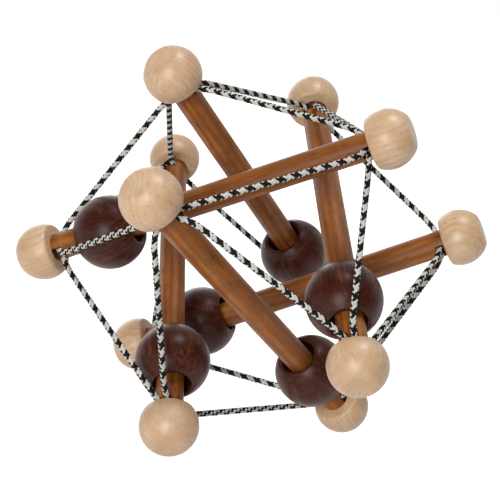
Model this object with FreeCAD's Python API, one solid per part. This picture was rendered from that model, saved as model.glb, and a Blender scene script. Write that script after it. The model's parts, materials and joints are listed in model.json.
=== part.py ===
"""Wooden squeeze toy: a six-strut tensegrity, standing on three of its end balls.

Six stained rods float in a net of elastic cord. Each rod has a pale ball glued on each end and a dark
bead that slides along it. No rod touches another: 24 runs of cord, caught in saw kerfs at the rod ends,
hold them as three parallel pairs at right angles to each other.

The toy is laid out in its own squeeze frame, where pair a lies along X, pair b along Y and pair c along Z.
It is then turned so that one triangular face of the net is level and rests on the floor.
Millimetres. Every solid is written to parts/NODE.step, with the origin on the floor below the middle.
"""

import FreeCAD, Part
import math
import os

from FreeCAD import Placement, Rotation, Vector

# ---- driving dimensions -------------------------------------------------------------------------
ROD_SPAN = 130.5          # ball centre to ball centre along one rod
PAIR_GAP = 64.0           # middle to middle of two parallel rods, before the settling below
ROD_D = 9.5
END_BALL_D = 20.0
END_BALL_SEAT_CUT = 4.7   # taken off the rod's side, which leaves a broad flat seat
END_BALL_SEAT_RIM_R = 1.2
END_BALL_FACE_CUT = 1.5   # taken off the outer end, which leaves a small flat face
END_BALL_FACE_RIM_R = 3.0
SOCKET_PAST_CENTRE = 4.0  # the rod's end stops this far beyond the ball's centre
GLUE_GAP = 0.05           # radial
BEAD_D = 26.0
BEAD_BORE_D = 12.7        # slides loosely over the rod
BEAD_RIM_R = 1.0
BEAD_HANG = 0.9           # the loose bead sits this far off the rod's axis, towards the middle
CORD_D = 2.5
CORD_BEND_R = 2.6         # where a cord turns out of its kerf
CORD_GAP = 0.15           # between the two cords in a kerf
CORD_SEAT_GAP = 0.6       # cord to the seat of the ball above it
CORD_KERF_GAP = 0.5       # cord to the sides and the bottom of its kerf
CORD_TURN_OUT = 0.7       # a cord turns this far outside its rod
BEAD_CORD_GAP = 0.3       # a bead never comes nearer to a cord than this
BEAD_STEP = 0.05          # how finely a bead's resting place is searched for

SAME_SIZE = 1e-4          # lengths closer than this are the same
VOLUME_SLACK = 0.01       # share by which a cord's volume may differ from its section times its length

# Elastic is never even, so each rod sits a little off its regular place in the net.
# rod: shift of its middle along X, Y, Z, then the sideways lean of its positive end along the two axes
# that it crosses, then how far short of the cords its bead has stuck, all in millimetres.
SETTLED = {
    "a1": ((-2.0, 1.5, 0.0), (2.0, -2.5), 0.0),
    "a2": ((2.0, -2.5, 1.0), (2.0, 0.5), 2.7),
    "b1": ((1.0, 2.0, -2.5), (-1.5, 1.5), 3.0),
    "b2": ((0.5, -1.0, 1.5), (3.5, 1.0), 0.0),
    "c1": ((-1.0, 0.0, 0.0), (0.0, 1.0), 0.0),
    "c2": ((-0.5, -0.5, -0.5), (-3.0, 0.5), 0.8),
}

# Two kerfs were sawn this much deeper than the rest, and their cords lie that much further in.
DEEPER_KERFS = {("b2", "high"): 2.3, ("c2", "low"): 2.0}

# ---- the net ------------------------------------------------------------------------------------
X, Y, Z = Vector(1, 0, 0), Vector(0, 1, 0), Vector(0, 0, 1)
# rod: the way it points, the way its pair is spread, the way its kerfs run, and which end is the high one
LAYOUT = {
    "a1": (X, -Y, Z, +1),
    "a2": (X, +Y, Z, +1),
    "b1": (Y, +Z, X, -1),
    "b2": (Y, -Z, X, -1),
    "c1": (Z, -X, Y, +1),
    "c2": (Z, +X, Y, +1),
}
ENDS = ("high", "low")
FLOOR_BALLS = (("a2", "low"), ("b2", "low"), ("c1", "low"))
RUNS = [
    # the six runs round each end of pair a, then those that join pairs b and c
    (("a1", "high"), ("b1", "high")), (("a1", "high"), ("b2", "high")),
    (("a1", "high"), ("c2", "high")), (("a1", "high"), ("c2", "low")),
    (("a1", "low"), ("b1", "high")), (("a1", "low"), ("b2", "high")),
    (("a1", "low"), ("c1", "high")), (("a1", "low"), ("c1", "low")),
    (("a2", "high"), ("b1", "low")), (("a2", "high"), ("b2", "low")),
    (("a2", "high"), ("c2", "high")), (("a2", "high"), ("c2", "low")),
    (("a2", "low"), ("b1", "low")), (("a2", "low"), ("b2", "low")),
    (("a2", "low"), ("c1", "high")), (("a2", "low"), ("c1", "low")),
    (("b1", "high"), ("c1", "high")), (("b1", "high"), ("c2", "high")),
    (("b1", "low"), ("c1", "high")), (("b1", "low"), ("c2", "high")),
    (("b2", "high"), ("c1", "low")), (("b2", "high"), ("c2", "low")),
    (("b2", "low"), ("c1", "low")), (("b2", "low"), ("c2", "low")),
]

# ---- sizes that follow --------------------------------------------------------------------------
ball_r = END_BALL_D / 2
seat_h = ball_r - END_BALL_SEAT_CUT                              # centre of a ball to its seat
face_h = ball_r - END_BALL_FACE_CUT                              # centre of a ball to its face
rod_half = ROD_SPAN / 2 + SOCKET_PAST_CENTRE
kerf_w = 2 * CORD_D + CORD_GAP + 2 * CORD_KERF_GAP               # two cords lie side by side in a kerf
cord_side = (CORD_D + CORD_GAP) / 2                              # either one to the kerf's middle
cord_h = seat_h + CORD_SEAT_GAP + CORD_D / 2                     # ball's centre to the cords in the kerf
kerf_bottom_h = cord_h + CORD_D / 2 + CORD_KERF_GAP
corner_h = ROD_D / 2 + CORD_TURN_OUT                             # rod's axis to where a cord turns


class Rod:
    """One strut: its centre, its direction, and the frame that its kerfs and balls are set out in."""

    def __init__(self, name):
        along, spread, across, high_sign = LAYOUT[name]
        shift, lean, self.bead_short = SETTLED[name]
        sideways = [axis for axis in (X, Y, Z) if axis != along]
        lean_end = along * (ROD_SPAN / 2) + sideways[0] * lean[0] + sideways[1] * lean[1]
        self.name = name
        self.middle = spread * (PAIR_GAP / 2) + Vector(*shift)
        self.up = lean_end.normalize() * high_sign
        self.kerf = (across - self.up * across.dot(self.up)).normalize()
        self.inward = (-spread + self.up * spread.dot(self.up)).normalize()

    def out(self, end):
        """The way that the rod points out of the toy at this end."""
        return self.up if end == "high" else -self.up

    def ball(self, end):
        return self.middle + self.out(end) * (ROD_SPAN / 2)

    def deeper(self, end):
        """How much deeper than the rest the kerf at this end is."""
        return DEEPER_KERFS.get((self.name, end), 0)


RODS = {name: Rod(name) for name in LAYOUT}


def standing():
    """The turn that lays the three floor balls level, with a1's low ball and a2's high ball along X."""
    feet = [RODS[rod].ball(end) for rod, end in FLOOR_BALLS]
    up = (feet[1] - feet[0]).cross(feet[2] - feet[0]).normalize()
    if up.dot(RODS["a1"].ball("high") - feet[0]) < 0:
        up = -up
    reach = RODS["a2"].ball("high") - RODS["a1"].ball("low")
    right = (reach - up * reach.dot(up)).normalize()
    back = up.cross(right)
    turned = FreeCAD.Matrix(
        right.x, right.y, right.z, 0, back.x, back.y, back.z, 0, up.x, up.y, up.z, 0, 0, 0, 0, 1
    )
    return Placement(turned)


# ---- cords --------------------------------------------------------------------------------------
def cord_route(run):
    """Four points: middle of one kerf, the turn out of it, the turn into the other, and its middle."""
    starts, corners = [], []
    for (rod_name, end), (other_name, other_end) in (run, run[::-1]):
        rod, other = RODS[rod_name], RODS[other_name]
        reach = (other.ball(other_end) - rod.ball(end)).normalize()
        side = 1 if reach.dot(rod.kerf) > 0 else -1
        berth = cord_side if reach.dot(rod.inward) > 0 else -cord_side
        start = rod.ball(end) - rod.out(end) * (cord_h + rod.deeper(end)) + rod.inward * berth
        starts.append(start)
        corners.append(start + rod.kerf * (side * corner_h))
    return [starts[0], corners[0], corners[1], starts[1]]


def rounded_path(points, radius):
    """Straight runs through the points, with a tangent arc of this radius at each inner point."""
    edges, at = [], points[0]
    for before, corner, after in zip(points, points[1:], points[2:]):
        back, ahead = (before - corner).normalize(), (after - corner).normalize()
        half = back.getAngle(ahead) / 2
        cut = radius / math.tan(half)
        bisector = (back + ahead).normalize()
        nearest = corner + bisector * (radius / math.sin(half) - radius)
        into, out_of = corner + back * cut, corner + ahead * cut
        edges.append(Part.LineSegment(at, into).toShape())
        edges.append(Part.Arc(into, nearest, out_of).toShape())
        at = out_of
    edges.append(Part.LineSegment(at, points[-1]).toShape())
    return Part.Wire(edges)


def cord(run):
    route = cord_route(run)
    path = rounded_path(route, CORD_BEND_R)
    section = Part.Wire(Part.makeCircle(CORD_D / 2, route[0], route[1] - route[0]))
    solid = path.makePipeShell([section], True, False)
    expected = math.pi * (CORD_D / 2) ** 2 * path.Length
    if abs(solid.Volume / expected - 1) > VOLUME_SLACK:
        raise ValueError(f"cord {run} has the wrong volume")
    return solid, path.Length


# ---- wooden pieces ------------------------------------------------------------------------------
def set_along(shape, direction, place):
    """Turns a piece made along +Z to a direction, and puts its origin at a place."""
    shape.Placement = Placement(place, Rotation(Z, direction)).multiply(shape.Placement)
    return shape


def turned_piece(outline):
    """A solid turned about Z from edges in the XZ plane."""
    face = Part.Face(Part.Wire(outline))
    return face.revolve(Vector(0, 0, 0), Z, 360)


def line(a, b):
    return Part.LineSegment(Vector(a[0], 0, a[1]), Vector(b[0], 0, b[1])).toShape()


def arc(a, b, c):
    return Part.Arc(*(Vector(p[0], 0, p[1]) for p in (a, b, c))).toShape()


def rim_edges(shape, radius, height):
    """The circles of this radius at this height above or below the middle."""
    found = []
    for edge in shape.Edges:
        curve = edge.Curve
        if curve.TypeId == "Part::GeomCircle" and abs(curve.Radius - radius) < SAME_SIZE:
            if abs(abs(curve.Center.z) - height) < SAME_SIZE:
                found.append(edge)
    return found


def end_ball():
    """Ball along +Z, with a flat face on top, and a broad seat below with the rod's blind socket in it."""
    face_r, seat_r = math.sqrt(ball_r**2 - face_h**2), math.sqrt(ball_r**2 - seat_h**2)
    socket_r = ROD_D / 2 + GLUE_GAP
    solid = turned_piece([
        line((0, face_h), (face_r, face_h)),
        arc((face_r, face_h), (ball_r, 0), (seat_r, -seat_h)),
        line((seat_r, -seat_h), (socket_r, -seat_h)),
        line((socket_r, -seat_h), (socket_r, SOCKET_PAST_CENTRE)),
        line((socket_r, SOCKET_PAST_CENTRE), (0, SOCKET_PAST_CENTRE)),
        line((0, SOCKET_PAST_CENTRE), (0, face_h)),
    ])
    solid = solid.makeFillet(END_BALL_FACE_RIM_R, rim_edges(solid, face_r, face_h))
    return solid.makeFillet(END_BALL_SEAT_RIM_R, rim_edges(solid, seat_r, seat_h))


def rod(spec):
    """Dowel along +Z, with a kerf sawn across each end for the two cords that it catches."""
    dowel = Part.makeCylinder(ROD_D / 2, 2 * rod_half, Vector(0, 0, -rod_half))
    for end in ENDS:
        depth = SOCKET_PAST_CENTRE + kerf_bottom_h + spec.deeper(end)
        low = rod_half - depth if end == "high" else -rod_half
        kerf = Part.makeBox(ROD_D, kerf_w, depth, Vector(-ROD_D / 2, -kerf_w / 2, low))
        dowel = dowel.cut(kerf)
    turn = Rotation(spec.kerf, spec.up.cross(spec.kerf), spec.up, "ZXY")
    dowel.Placement = Placement(spec.middle, turn)
    return dowel


def bead():
    bore_r, bead_r = BEAD_BORE_D / 2, BEAD_D / 2
    mouth_h = math.sqrt(bead_r**2 - bore_r**2)
    solid = turned_piece([
        line((bore_r, -mouth_h), (bore_r, mouth_h)),
        arc((bore_r, mouth_h), (bead_r, 0), (bore_r, -mouth_h)),
    ])
    return solid.makeFillet(BEAD_RIM_R, rim_edges(solid, bore_r, mouth_h))


def gap_to_run(point, run):
    """Distance from a point to the straight stretch of a cord."""
    _, start, stop, _ = cord_route(run)
    whole = stop - start
    share = min(max((point - start).dot(whole) / whole.dot(whole), 0), 1)
    return (start + whole * share - point).Length


def bead_stop(spec, end):
    """The bead's centre when it has run to this end of its rod and rests among the cords there."""
    near = [run for run in RUNS if (spec.name, end) in run]
    room = BEAD_D / 2 + CORD_D / 2 + BEAD_CORD_GAP
    height = ball_r
    while True:
        centre = spec.ball(end) - spec.out(end) * height + spec.inward * BEAD_HANG
        if all(gap_to_run(centre, run) >= room for run in near):
            return centre
        height += BEAD_STEP


# ---- the toy ------------------------------------------------------------------------------------
def run_name(run):
    (rod_a, end_a), (rod_b, end_b) = run
    return f"cord_{rod_a}_{end_a}_to_{rod_b}_{end_b}"


def make_nodes():
    nodes, lengths = {}, {}
    for name, spec in RODS.items():
        nodes[f"rod_{name}"] = rod(spec)
        for end in ENDS:
            nodes[f"ball_{name}_{end}"] = set_along(end_ball(), spec.out(end), spec.ball(end))
        bead_rest = bead_stop(spec, "low") + spec.up * spec.bead_short
        nodes[f"bead_{name}"] = set_along(bead(), spec.up, bead_rest)
    for run in RUNS:
        nodes[run_name(run)], lengths[run_name(run)] = cord(run)
    return nodes, lengths


def stand_up(nodes):
    """Turns the toy to stand on its three floor balls, with the origin on the floor below the middle."""
    turn = standing()
    for shape in nodes.values():
        shape.Placement = turn.multiply(shape.Placement)
    box = Part.makeCompound(list(nodes.values())).optimalBoundingBox(False, False)
    move = Placement(Vector(-box.Center.x, -box.Center.y, -box.ZMin), Rotation())
    for shape in nodes.values():
        shape.Placement = move.multiply(shape.Placement)
    return box


def main():
    nodes, lengths = make_nodes()
    box = stand_up(nodes)
    os.makedirs("parts", exist_ok=True)
    for name, shape in nodes.items():
        if not shape.isValid() or len(shape.Solids) != 1:
            raise ValueError(f"{name} isn't one valid solid")
        shape.Solids[0].exportStep(f"parts/{name}.step")
    print(f"{len(nodes)} nodes, box {box.XLength:.1f} x {box.YLength:.1f} x {box.ZLength:.1f} mm")
    shortest, longest = min(lengths.values()), max(lengths.values())
    print(f"cord bend radius {CORD_BEND_R} mm, cord lengths {shortest:.1f} to {longest:.1f} mm")


main()
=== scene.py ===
"""The looks of a six-strut wooden tensegrity toy: stained and natural wood, and braided elastic cord."""

import json
import math

import bmesh
import bpy
from mathutils import Matrix, Vector


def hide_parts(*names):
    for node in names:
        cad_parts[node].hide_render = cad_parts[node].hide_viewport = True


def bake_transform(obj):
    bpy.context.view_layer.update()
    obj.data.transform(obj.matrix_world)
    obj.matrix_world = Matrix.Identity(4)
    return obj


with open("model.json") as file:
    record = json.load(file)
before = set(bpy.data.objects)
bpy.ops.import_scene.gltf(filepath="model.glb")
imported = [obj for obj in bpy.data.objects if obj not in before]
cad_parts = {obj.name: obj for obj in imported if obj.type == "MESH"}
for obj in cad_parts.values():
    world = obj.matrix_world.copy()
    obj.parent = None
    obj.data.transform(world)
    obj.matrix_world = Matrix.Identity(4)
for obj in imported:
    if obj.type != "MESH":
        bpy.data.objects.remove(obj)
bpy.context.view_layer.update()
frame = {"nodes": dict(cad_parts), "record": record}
record = frame["record"]

MM = 0.001
FACE_H = 8.5 * MM        # centre of an end ball to its outer face
SEAT_H = 5.3 * MM        # and to its seat, where the rod goes in
ROD_D = 9.5 * MM
CORD_D = 2.5 * MM
CORD_GAP = 0.15 * MM
CORD_SEAT_GAP = 0.6 * MM
CORD_TURN_OUT = 0.7 * MM
DEEPER_KERFS = {("b2", "high"): 2.3 * MM, ("c2", "low"): 2.0 * MM}


# ---- camera -------------------------------------------------------------------------------------
CAMERA_AZIMUTH, CAMERA_ELEVATION, CAMERA_ROLL = -3.758, 13.298, -12.977  # degrees
CAMERA_TARGET = Vector((-0.39, 0, 62.84)) * MM
CAMERA_DISTANCE = 439.65 * MM
SENSOR_MM, LENS_MM = 36.0, 88.63


def add_camera():
    """Long lens, a little above the toy, and rolled so that the toy leans to the right."""
    azimuth, elevation, roll = map(math.radians, (CAMERA_AZIMUTH, CAMERA_ELEVATION, CAMERA_ROLL))
    level = math.cos(elevation)
    back = Vector((math.sin(azimuth) * level, -math.cos(azimuth) * level, math.sin(elevation)))
    right = (-back).cross(Vector((0, 0, 1))).normalized()
    up = right.cross(-back)
    image_right = right * math.cos(roll) - up * math.sin(roll)
    image_up = right * math.sin(roll) + up * math.cos(roll)
    data = bpy.data.cameras.new("camera")
    data.sensor_width = SENSOR_MM
    data.lens = LENS_MM
    data.clip_start, data.clip_end = 0.01, 100.0
    camera = bpy.data.objects.new("camera", data)
    turn = Matrix((image_right, image_up, back)).transposed()
    camera.matrix_world = Matrix.LocRotScale(CAMERA_TARGET + back * CAMERA_DISTANCE, turn, None)
    bpy.context.collection.objects.link(camera)
    bpy.context.scene.camera = camera
    return back, image_right, image_up


to_camera, image_right, image_up = add_camera()


# ---- the net, from the record -------------------------------------------------------------------
joint_axes = {joint["name"]: Vector(joint["axis"]) for joint in record["behaviour"]["joints"]}
# every strut moves away from the middle along its own net axis, and the squeeze joints are measured from a2
net_y = -joint_axes["squeeze"]
net_z = joint_axes["squeeze_b1"] * math.sqrt(2) + net_y
net_x = joint_axes["squeeze_c2"] * math.sqrt(2) + net_y
KERF_ALONG = {"a": net_z, "b": net_x, "c": net_y}
SPREAD = {"a1": -net_y, "a2": net_y, "b1": net_z, "b2": -net_z, "c1": -net_x, "c2": net_x}
RODS = sorted(SPREAD)
ENDS = ("high", "low")

faces = {mount["name"]: mount for mount in record["mounts"] if mount["kind"] == "flat_face"}
out_of = {(rod, end): Vector(faces[f"ball_face_{rod}_{end}"]["axis"]) for rod in RODS for end in ENDS}
ball_at = {
    (rod, end): Vector(faces[f"ball_face_{rod}_{end}"]["pos_m"]) - out_of[rod, end] * FACE_H
    for rod in RODS
    for end in ENDS
}


def rod_middle(rod):
    return (ball_at[rod, "high"] + ball_at[rod, "low"]) / 2


# ---- cords --------------------------------------------------------------------------------------
CORD_H = SEAT_H + CORD_SEAT_GAP + CORD_D / 2  # centre of a ball to the cords in the rod's kerf
CORD_SIDE = (CORD_D + CORD_GAP) / 2
CORNER_H = ROD_D / 2 + CORD_TURN_OUT         # rod's axis to where a cord turns
STRAIGHT_FROM = 6 * CORD_D

BRAID_PITCH = 5.3 * MM   # one turn of a strand round the cord
STRAND_W = 0.95 * MM
STRAND_T = 0.5 * MM
STRAND_WAVE = 0.2 * MM   # a strand rises and dips by this much as it goes over and under
STRAND_FLATTENING = 0.4  # a strand's rise is a little square, so that it lies flat where it is on top
STRANDS = 4              # each way round, the first half of them white
STEPS_PER_TURN = 20
STRAND_SIDES = 6
CORE_SIDES = 8
CORE_EVERY = 4           # the core has one ring for this many of a strand's
WHITE, BLACK, CORE = 0, 1, 2

BRAID_SHARE = 0.9        # the stretched braid is a little thinner than the cord's solid
# which side of the braid faces the camera, as a turn in degrees, and what shows there
CHEVRONS, BLOCKS, EDGED, ROWS, STRIPES = 0, -45, -65, -90, -135
# how each cord lies, from its first end to its last: those not named show blocks all along
BRAID_LIES = {
    "cord_a1_high_to_b1_high": (ROWS, ROWS),
    "cord_a1_high_to_c2_high": (STRIPES, STRIPES),
    "cord_a1_high_to_c2_low": (EDGED, EDGED),
    "cord_a1_low_to_b2_high": (STRIPES, STRIPES),
    "cord_a1_low_to_c1_low": (BLOCKS, ROWS),
    "cord_a2_high_to_c2_low": (CHEVRONS, CHEVRONS),
    "cord_b2_high_to_c1_low": (BLOCKS, ROWS),
    "cord_b2_high_to_c2_low": (BLOCKS, ROWS),
    "cord_b2_low_to_c1_low": (ROWS, STRIPES),
}


def cord_ends(name):
    """The two rod ends that a cord joins, from its node's name."""
    words = name.split("_")
    return (words[1], words[2]), (words[4], words[5])


def cord_points(name):
    """Kerf, corner and a point on the straight run at each end, as the cord's solid has them."""
    halves = []
    ends = cord_ends(name)
    for here, there in (ends, ends[::-1]):
        rod = here[0]
        up = out_of[rod, "high"]
        kerf = KERF_ALONG[rod[0]] - up * KERF_ALONG[rod[0]].dot(up)
        inward = up * SPREAD[rod].dot(up) - SPREAD[rod]
        reach = ball_at[there] - ball_at[here]
        berth = CORD_SIDE if reach.dot(inward) > 0 else -CORD_SIDE
        side = 1 if reach.dot(kerf) > 0 else -1
        depth = CORD_H + DEEPER_KERFS.get(here, 0)
        start = ball_at[here] - out_of[here] * depth + inward.normalized() * berth
        halves.append((start, start + kerf.normalized() * (side * CORNER_H)))
    (first, corner), (last, far_corner) = halves
    along = (far_corner - corner).normalized() * STRAIGHT_FROM
    return [first, corner, corner + along, far_corner - along, far_corner, last]


def smooth_line(name, points):
    """The cord's own NURBS line, as a list of close points."""
    data = bpy.data.curves.new(f"{name}_line", "CURVE")
    data.dimensions = "3D"
    data.resolution_u = 12
    spline = data.splines.new("NURBS")
    spline.points.add(len(points) - 1)
    for target, point in zip(spline.points, points):
        target.co = (*point, 1)
    spline.order_u = 3
    spline.use_endpoint_u = True
    line = bpy.data.objects.new(f"{name}_line", data)
    mesh = bpy.data.meshes.new_from_object(line)
    places = [vertex.co.copy() for vertex in mesh.vertices]
    bpy.data.objects.remove(line)
    bpy.data.curves.remove(data)
    bpy.data.meshes.remove(mesh)
    return places


class Line:
    """A polyline that gives its place and an untwisted cross frame at any distance along it."""

    def __init__(self, places, facing):
        self.places = [places[0]]
        self.at = [0.0]
        for place in places[1:]:
            step = (place - self.places[-1]).length
            if step > 1e-6:
                self.places.append(place)
                self.at.append(self.at[-1] + step)
        self.length = self.at[-1]
        self.ways = []
        for index in range(len(self.places)):
            before, after = max(index - 1, 0), min(index + 1, len(self.places) - 1)
            self.ways.append((self.places[after] - self.places[before]).normalized())
        middle = self.ways[len(self.ways) // 2]
        side = (facing - middle * facing.dot(middle)).normalized()
        self.sides = self.carried(side)

    def carried(self, side):
        """Carries a side vector from the line's middle to both ends without twist."""
        sides = [None] * len(self.ways)
        middle = len(self.ways) // 2
        for run in (range(middle, -1, -1), range(middle, len(self.ways))):
            now = side.copy()
            for index in run:
                now = (now - self.ways[index] * now.dot(self.ways[index])).normalized()
                sides[index] = now
        return sides

    def frame_at(self, distance, low=0):
        """Place, way, side and the index found, for a distance that is no less than at[low]."""
        while low < len(self.at) - 2 and self.at[low + 1] < distance:
            low += 1
        share = (distance - self.at[low]) / (self.at[low + 1] - self.at[low])
        place = self.places[low].lerp(self.places[low + 1], share)
        way = self.ways[low].lerp(self.ways[low + 1], share).normalized()
        side = self.sides[low].lerp(self.sides[low + 1], share)
        side = (side - way * side.dot(way)).normalized()
        return place, way, side, low


def add_tube(build, rings, material, uv_layer, per_turn):
    """Joins rings of points into a closed tube, with its UV across the strand and along it."""
    made = [[build.verts.new(point) for point in ring] for ring in rings]
    count = len(rings[0])
    for step, (ring, following) in enumerate(zip(made, made[1:])):
        for index in range(count):
            after = (index + 1) % count
            face = build.faces.new((ring[index], ring[after], following[after], following[index]))
            face.material_index = material
            face.smooth = True
            corners = ((index, step), (index + 1, step), (index + 1, step + 1), (index, step + 1))
            for loop, (across, along) in zip(face.loops, corners):
                loop[uv_layer].uv = (across / count, along / per_turn)
    for ring in (made[0][::-1], made[-1]):
        build.faces.new(ring).material_index = material


def braid(name, line, lie):
    """Eight strands, four each way round, each passing over one and under one round a rubber core."""
    build = bmesh.new()
    uv_layer = build.loops.layers.uv.new("strand")
    steps = round(line.length / BRAID_PITCH * STEPS_PER_TURN)
    first_lie, last_lie = (math.radians(degrees) for degrees in lie)
    frames, low = [], 0
    for step in range(steps + 1):
        place, way, side, low = line.frame_at(line.length * step / steps, low)
        side.rotate(Matrix.Rotation(first_lie + (last_lie - first_lie) * step / steps, 3, way))
        frames.append((place, way, side, way.cross(side)))
    middle_r = CORD_D * BRAID_SHARE / 2 - STRAND_T / 2 - STRAND_WAVE
    for turn in (1, -1):
        for strand in range(STRANDS):
            rings = []
            for step, (place, way, side, across) in enumerate(frames):
                turned = 2 * math.pi * step / STEPS_PER_TURN
                angle = turn * turned + strand * 2 * math.pi / STRANDS
                over = turn * math.cos(STRANDS * turned)
                over *= 1 + STRAND_FLATTENING * (1 - over * over)
                radial = side * math.cos(angle) + across * math.sin(angle)
                round_way = across * math.cos(angle) - side * math.sin(angle)
                radius = middle_r + STRAND_WAVE * over
                climb = way * BRAID_PITCH + round_way * (turn * 2 * math.pi * radius)
                broad = climb.normalized().cross(radial)
                ring = []
                for corner in range(STRAND_SIDES):
                    at = 2 * math.pi * corner / STRAND_SIDES
                    offset = broad * (math.cos(at) * STRAND_W / 2) + radial * (math.sin(at) * STRAND_T / 2)
                    ring.append(place + radial * radius + offset)
                rings.append(ring)
            add_tube(build, rings, WHITE if strand < STRANDS / 2 else BLACK, uv_layer, STEPS_PER_TURN)
    core_r = middle_r - STRAND_WAVE
    rings = []
    for place, _, side, across in frames[::CORE_EVERY] + ([frames[-1]] if steps % CORE_EVERY else []):
        angles = [2 * math.pi * corner / CORE_SIDES for corner in range(CORE_SIDES)]
        rings.append([place + (side * math.cos(a) + across * math.sin(a)) * core_r for a in angles])
    add_tube(build, rings, CORE, uv_layer, STEPS_PER_TURN)
    bmesh.ops.recalc_face_normals(build, faces=build.faces)
    mesh = bpy.data.meshes.new(name)
    build.to_mesh(mesh)
    build.free()
    piece = bpy.data.objects.new(name, mesh)
    bpy.context.collection.objects.link(piece)
    return piece


def join_bodies(piece, name):
    """Bakes the cord's placement into its mesh; the cord is not tied to the two struts that it runs
    between.
    """
    (rod, _), (other, _) = cord_ends(name)
    if rod == "a2":
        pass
    elif other == "a2":
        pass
    else:
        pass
    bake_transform(piece)


# ---- materials ----------------------------------------------------------------------------------
class Nodes:
    """Short names for adding shader nodes and links to one material."""

    def __init__(self, name):
        self.material = bpy.data.materials.new(name)
        self.material.use_nodes = True
        self.tree = self.material.node_tree
        self.shader = self.tree.nodes["Principled BSDF"]

    def add(self, kind, **settings):
        node = self.tree.nodes.new(kind)
        for key, value in settings.items():
            setattr(node, key, value)
        return node

    def link(self, source, target):
        self.tree.links.new(source, target)

    def math(self, operation, first, second):
        node = self.add("ShaderNodeMath", operation=operation)
        for socket, value in zip(node.inputs, (first, second)):
            if isinstance(value, (int, float)):
                socket.default_value = value
            else:
                self.link(value, socket)
        return node.outputs[0]

    def noise(self, vector, scale, detail, roughness=0.5):
        node = self.add("ShaderNodeTexNoise")
        node.inputs["Scale"].default_value = scale
        node.inputs["Detail"].default_value = detail
        node.inputs["Roughness"].default_value = roughness
        self.link(vector, node.inputs["Vector"])
        return node.outputs["Fac"]

    def stretched(self, vector, scale):
        node = self.add("ShaderNodeMapping")
        node.inputs["Scale"].default_value = scale
        self.link(vector, node.inputs["Vector"])
        return node.outputs["Vector"]

    def ramp(self, value, stops):
        node = self.add("ShaderNodeValToRGB")
        elements = node.color_ramp.elements
        while len(elements) < len(stops):
            elements.new(0.5)
        for element, (at, colour) in zip(elements, stops):
            element.position = at
            element.color = (*colour, 1)
        self.link(value, node.inputs["Fac"])
        return node.outputs["Color"]

    def mix(self, share, first, second):
        node = self.add("ShaderNodeMix", data_type="RGBA")
        for socket, value in ((node.inputs[0], share), (node.inputs[6], first), (node.inputs[7], second)):
            if isinstance(value, (int, float)):
                socket.default_value = value
            elif isinstance(value, tuple):
                socket.default_value = (*value, 1)
            else:
                self.link(value, socket)
        return node.outputs[2]

    def bump(self, height, strength, distance):
        node = self.add("ShaderNodeBump")
        node.inputs["Strength"].default_value = strength
        node.inputs["Distance"].default_value = distance
        self.link(height, node.inputs["Height"])
        self.link(node.outputs["Normal"], self.shader.inputs["Normal"])


def srgb(red, green, blue):
    """Linear colour from the 0 to 255 numbers of a paint chart."""
    shares = (red / 255, green / 255, blue / 255)
    return tuple(c / 12.92 if c <= 0.04045 else ((c + 0.055) / 1.055) ** 2.4 for c in shares)


HEART_OFF = 17 * MM      # the tree's heart is this far beside a piece
HEART_TURN = 2.4         # and further round the piece by this angle from one seed to the next
HEART_STEP = 61 * MM     # and further up the tree by this much
# how fine a pattern is, and how far it is drawn out along the grain
WARP_SCALE, WARP_STRETCH = 90, 0.25
RING_STRETCH = 0.12
STREAK_SCALE, STREAK_STRETCH = 1500, 0.05
BROAD_SCALE, BROAD_STRETCH = 330, 0.08
PORE_SCALE, PORE_STRETCH = 2600, 0.09
BLOTCH_SCALE = 120
ROUGH_SPREAD = 0.16      # roughness varies by this much with the streaks


def grain_space(nodes, centre, along, seed):
    """Coordinates with their Z along the grain, and their origin beside the piece like a tree's heart."""
    turn = along.to_track_quat("Z", "Y").inverted()
    heart = Vector((math.cos(seed * HEART_TURN), math.sin(seed * HEART_TURN), 0)) * HEART_OFF
    heart += Vector((0, 0, seed * HEART_STEP))
    place = nodes.add("ShaderNodeMapping")
    place.inputs["Rotation"].default_value = turn.to_euler()
    place.inputs["Location"].default_value = heart - turn @ centre
    coordinates = nodes.add("ShaderNodeTexCoord")
    nodes.link(coordinates.outputs["Object"], place.inputs["Vector"])
    return place.outputs["Vector"]


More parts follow.
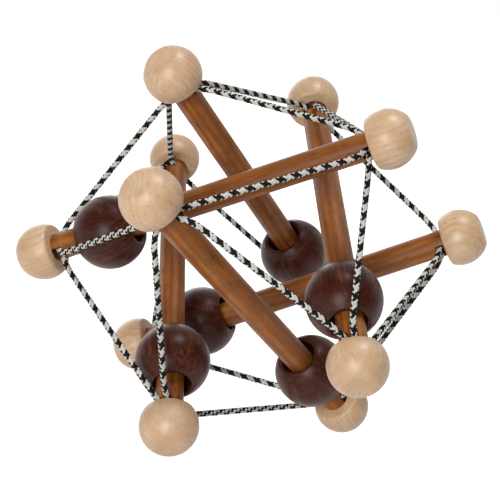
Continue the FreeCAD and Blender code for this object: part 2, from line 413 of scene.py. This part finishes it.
def wood(name, centre, along, seed, look):
    """Wood with growth rings, fibre streaks, pores and blotches, under a satin lacquer."""
    nodes = Nodes(name)
    space = grain_space(nodes, centre, along, seed)
    warp = nodes.noise(nodes.stretched(space, (1, 1, WARP_STRETCH)), WARP_SCALE, 2)
    rings = nodes.add("ShaderNodeTexWave", wave_type="RINGS", rings_direction="Z")
    rings.inputs["Scale"].default_value = look["rings"]
    rings.inputs["Distortion"].default_value = 3.5
    rings.inputs["Detail"].default_value = 2.0
    rings.inputs["Detail Scale"].default_value = 1.2
    nodes.link(nodes.stretched(space, (1, 1, RING_STRETCH)), rings.inputs["Vector"])
    streaks = nodes.noise(nodes.stretched(space, (1, 1, STREAK_STRETCH)), STREAK_SCALE, 3, 0.6)
    broad = nodes.noise(nodes.stretched(space, (1, 1, BROAD_STRETCH)), BROAD_SCALE, 3, 0.55)
    pores = nodes.noise(nodes.stretched(space, (1, 1, PORE_STRETCH)), PORE_SCALE, 1)
    blotch = nodes.noise(space, BLOTCH_SCALE, 2)
    tone = nodes.math("MULTIPLY", rings.outputs["Fac"], look["ring_share"])
    tone = nodes.math("ADD", tone, nodes.math("MULTIPLY", broad, look["broad_share"]))
    tone = nodes.math("ADD", tone, nodes.math("MULTIPLY", streaks, look["streak_share"]))
    tone = nodes.math("ADD", tone, nodes.math("MULTIPLY", warp, look["warp_share"]))
    colour = nodes.ramp(tone, look["ramp"])
    colour = nodes.mix(nodes.ramp(blotch, ((0.35, (0, 0, 0)), (0.75, (1, 1, 1)))), colour, look["blotch"])
    dark = nodes.ramp(pores, ((0.62, (0, 0, 0)), (0.74, (look["pore_share"],) * 3)))
    colour = nodes.mix(dark, colour, look["pore"])
    nodes.link(colour, nodes.shader.inputs["Base Color"])
    rough = nodes.math("MULTIPLY", streaks, ROUGH_SPREAD)
    nodes.link(nodes.math("ADD", rough, look["rough"] - ROUGH_SPREAD / 2), nodes.shader.inputs["Roughness"])
    nodes.shader.inputs["Specular IOR Level"].default_value = look["shine"]
    nodes.shader.inputs["Coat Weight"].default_value = look["coat"]
    nodes.shader.inputs["Coat Roughness"].default_value = look["coat_rough"]
    nodes.bump(nodes.math("SUBTRACT", streaks, nodes.math("MULTIPLY", pores, 0.5)), look["bump"], 0.05 * MM)
    return nodes.material


PALE = {
    "ramp": ((0.3, srgb(198, 157, 118)), (0.5, srgb(217, 182, 146)), (0.72, srgb(231, 202, 168))),
    "blotch": srgb(208, 168, 128),
    "pore": srgb(140, 94, 60),
    "pore_share": 0.45,
    "rings": 160.0,
    "ring_share": 0.1,
    "broad_share": 0.35,
    "streak_share": 0.35,
    "warp_share": 0.2,
    "shine": 0.5,
    "rough": 0.45,
    "coat": 0.25,
    "coat_rough": 0.28,
    "bump": 0.2,
}
STAINED = {
    "ramp": ((0.34, srgb(114, 61, 19)), (0.5, srgb(154, 90, 33)), (0.66, srgb(184, 118, 52))),
    "blotch": srgb(128, 70, 24),
    "pore": srgb(58, 30, 12),
    "pore_share": 0.8,
    "rings": 120.0,
    "ring_share": 0.16,
    "broad_share": 0.4,
    "streak_share": 0.17,
    "warp_share": 0.27,
    "shine": 0.3,
    "rough": 0.5,
    "coat": 0.08,
    "coat_rough": 0.35,
    "bump": 0.5,
}
DARK = {
    "ramp": ((0.38, srgb(38, 11, 5)), (0.5, srgb(68, 28, 17)), (0.62, srgb(116, 64, 48))),
    "blotch": srgb(62, 25, 15),
    "pore": srgb(16, 6, 4),
    "pore_share": 0.9,
    "rings": 120.0,
    "ring_share": 0.04,
    "broad_share": 0.3,
    "streak_share": 0.51,
    "warp_share": 0.15,
    "shine": 0.18,
    "rough": 0.42,
    "coat": 0.06,
    "coat_rough": 0.22,
    "bump": 0.8,
}


def yarn(name, colour, faded):
    """Textured nylon yarn: fine filaments that run along each strand, matt."""
    nodes = Nodes(name)
    coordinates = nodes.add("ShaderNodeTexCoord")
    filaments = nodes.noise(nodes.stretched(coordinates.outputs["UV"], (26, 5, 1)), 1.0, 2, 0.6)
    nodes.link(nodes.ramp(filaments, ((0.3, faded), (0.65, colour))), nodes.shader.inputs["Base Color"])
    nodes.shader.inputs["Roughness"].default_value = 0.8
    nodes.shader.inputs["Specular IOR Level"].default_value = 0.25
    nodes.bump(filaments, 0.5, 0.08 * MM)
    return nodes.material


def rubber(name):
    """The stretched latex strands under the braid."""
    nodes = Nodes(name)
    coordinates = nodes.add("ShaderNodeTexCoord")
    dust = nodes.noise(coordinates.outputs["Object"], 900, 2)
    colour = nodes.ramp(dust, ((0.3, srgb(30, 28, 26)), (0.7, srgb(44, 42, 38))))
    nodes.link(colour, nodes.shader.inputs["Base Color"])
    nodes.shader.inputs["Roughness"].default_value = 0.8
    return nodes.material


# ---- dressing the toy ---------------------------------------------------------------------------
def paint(node, material):
    piece = frame["nodes"][node]
    piece.data.materials.clear()
    piece.data.materials.append(material)


def make_cords():
    looks = (
        yarn("cord_white", srgb(234, 232, 224), srgb(188, 186, 178)),
        yarn("cord_black", srgb(9, 9, 11), srgb(20, 20, 22)),
        rubber("cord_core"),
    )
    for name in sorted(node for node in frame["nodes"] if node.startswith("cord_")):
        points = cord_points(name)
        line = Line(smooth_line(name, points), to_camera)
        piece = braid(f"braided_{name}", line, BRAID_LIES.get(name, (BLOCKS, BLOCKS)))
        for look in looks:
            piece.data.materials.append(look)
        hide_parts(name)
        join_bodies(piece, name)


BEAD_SEED, BALL_SEED = 8.5, 15.3  # keep the grain of beads and balls apart from that of the rods


def paint_wood():
    for number, rod in enumerate(RODS):
        up = out_of[rod, "high"]
        paint(f"rod_{rod}", wood(f"rod_{rod}_wood", rod_middle(rod), up, number + 1, STAINED))
        paint(f"bead_{rod}", wood(f"bead_{rod}_wood", rod_middle(rod), up, number + BEAD_SEED, DARK))
        for end_number, end in enumerate(ENDS):
            seed = number * 2 + end_number + BALL_SEED
            paint(f"ball_{rod}_{end}", wood(f"ball_{rod}_{end}_wood", ball_at[rod, end], up, seed, PALE))


# ---- studio -------------------------------------------------------------------------------------
FLOOR_HALF = 40.0
FLOOR_GLOW_SEEN, FLOOR_GLOW_LIT = 0.96, 0.05
SKY_SEEN, SKY_LIT = 1.0, 0.3
BACKDROP_STARTS, BACKDROP_FULL = -0.2, 0.5  # cosines of the angle from straight behind the toy
DARK_ROOM = 0.04
LIGHT_DISTANCE = 0.9
LIT_POINT = Vector((0, 0, 64)) * MM


def seen_strength(tree, seen, lit):
    """A glow of one strength to the eye and in reflections, and another as the light that it gives."""
    rays = tree.nodes.new("ShaderNodeLightPath")
    strength = tree.nodes.new("ShaderNodeMix")
    strength.inputs[2].default_value = seen
    strength.inputs[3].default_value = lit
    tree.links.new(rays.outputs["Is Diffuse Ray"], strength.inputs[0])
    return strength.outputs[0]


def add_floor():
    mesh = bpy.data.meshes.new("floor")
    half = FLOOR_HALF
    corners = [(-half, -half, 0), (half, -half, 0), (half, half, 0), (-half, half, 0)]
    mesh.from_pydata(corners, [], [(0, 1, 2, 3)])
    floor = bpy.data.objects.new("floor", mesh)
    bpy.context.collection.objects.link(floor)
    nodes = Nodes("floor")
    nodes.shader.inputs["Base Color"].default_value = (0.5, 0.5, 0.5, 1)
    nodes.shader.inputs["Roughness"].default_value = 0.9
    nodes.shader.inputs["Specular IOR Level"].default_value = 0.1
    nodes.shader.inputs["Emission Color"].default_value = (1, 1, 1, 1)
    glow = seen_strength(nodes.tree, FLOOR_GLOW_SEEN, FLOOR_GLOW_LIT)
    nodes.link(glow, nodes.shader.inputs["Emission Strength"])
    mesh.materials.append(nodes.material)


def add_light(name, direction, size, watts):
    """A round softbox that faces the middle of the toy."""
    data = bpy.data.lights.new(name, "AREA")
    data.shape = "DISK"
    data.size = size
    data.energy = watts
    light = bpy.data.objects.new(name, data)
    light.location = LIT_POINT + direction.normalized() * LIGHT_DISTANCE
    light.rotation_mode = "QUATERNION"
    light.rotation_quaternion = direction.to_track_quat("Z", "Y")
    bpy.context.collection.objects.link(light)


def add_world():
    """A white backdrop behind the toy, and a dark room on the side that the camera stands in."""
    world = bpy.data.worlds.new("studio")
    bpy.context.scene.world = world
    world.use_nodes = True
    tree = world.node_tree
    background = tree.nodes["Background"]
    coordinates = tree.nodes.new("ShaderNodeTexCoord")
    depth = tree.nodes.new("ShaderNodeVectorMath")
    depth.operation = "DOT_PRODUCT"
    depth.inputs[1].default_value = -to_camera
    backdrop = tree.nodes.new("ShaderNodeMapRange")
    backdrop.inputs["From Min"].default_value = BACKDROP_STARTS
    backdrop.inputs["From Max"].default_value = BACKDROP_FULL
    backdrop.inputs["To Min"].default_value = DARK_ROOM
    tree.links.new(coordinates.outputs["Generated"], depth.inputs[0])
    tree.links.new(depth.outputs["Value"], backdrop.inputs["Value"])
    rays = tree.nodes.new("ShaderNodeLightPath")
    shade = tree.nodes.new("ShaderNodeMix")
    shade.data_type = "RGBA"
    shade.inputs[7].default_value = (1, 1, 1, 1)
    tree.links.new(rays.outputs["Is Camera Ray"], shade.inputs[0])
    tree.links.new(backdrop.outputs["Result"], shade.inputs[6])
    tree.links.new(shade.outputs[2], background.inputs["Color"])
    tree.links.new(seen_strength(tree, SKY_SEEN, SKY_LIT), background.inputs["Strength"])


def towards(right, up, angle):
    """A direction this many degrees away from the camera's, to the right and up in the picture."""
    side = (image_right * right + image_up * up).normalized()
    return to_camera * math.cos(math.radians(angle)) + side * math.sin(math.radians(angle))


make_cords()
paint_wood()
add_floor()
add_world()
add_light("front", towards(-1.0, 0.1, 15), size=0.45, watts=5.6)
add_light("above", towards(0.3, 1.0, 76), size=0.35, watts=3.8)
add_light("behind", towards(-0.5, 0.6, 150), size=0.8, watts=3.0)
bpy.context.scene.view_settings.view_transform = "Standard"
